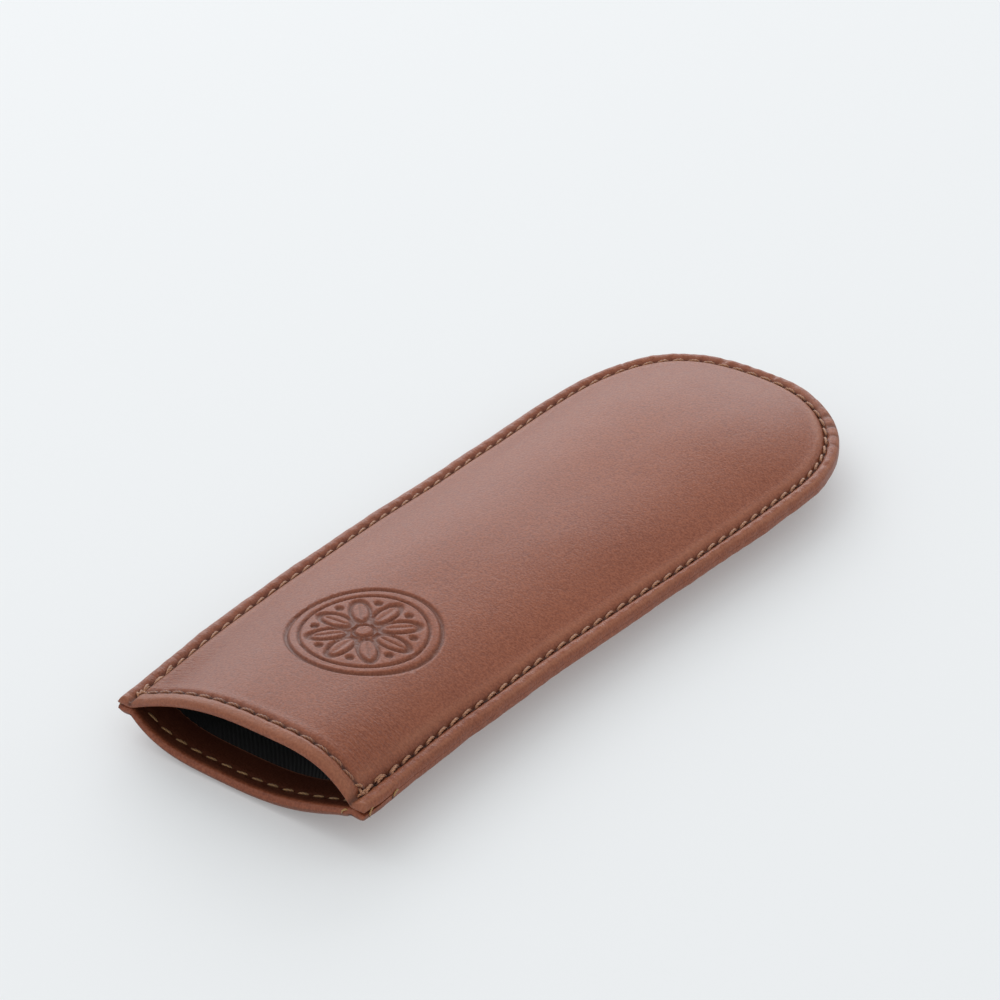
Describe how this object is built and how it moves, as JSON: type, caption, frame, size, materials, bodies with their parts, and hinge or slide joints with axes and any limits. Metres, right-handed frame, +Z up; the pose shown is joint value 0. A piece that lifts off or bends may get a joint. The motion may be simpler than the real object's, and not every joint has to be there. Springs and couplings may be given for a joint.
{
  "type": "fountain pen case",
  "caption": "Soft leather sleeve for a capped fountain pen: two crowned panels stitched round the sides and the round closed end, open at the straight mouth.",
  "frame": {"origin": "under the middle of the sleeve, on the surface it lies on", "axes": "+X across the sleeve, +Y from the open mouth towards the round closed end, +Z up through the crowned upper panel"},
  "size_m": [0.0634, 0.162, 0.0166],
  "materials": {
    "cover_leather": "smooth aniline cowhide, lightly waxed",
    "core_board": "bonded leather board",
    "lining_cloth": "ribbed polyester lining cloth",
    "needle_thread": "twisted bonded thread, red-brown",
    "bobbin_thread": "twisted bonded thread, golden tan"
  },
  "bodies": {
    "root": {"upper_cover": "cover_leather", "lower_cover": "cover_leather", "upper_core": "core_board", "lower_core": "core_board", "upper_lining": "lining_cloth", "lower_lining": "lining_cloth", "perimeter_needle_thread": "needle_thread", "perimeter_bobbin_thread": "bobbin_thread", "upper_mouth_needle_thread": "needle_thread", "upper_mouth_bobbin_thread": "bobbin_thread", "lower_mouth_needle_thread": "needle_thread", "lower_mouth_bobbin_thread": "bobbin_thread"}
  },
  "joints": []
}
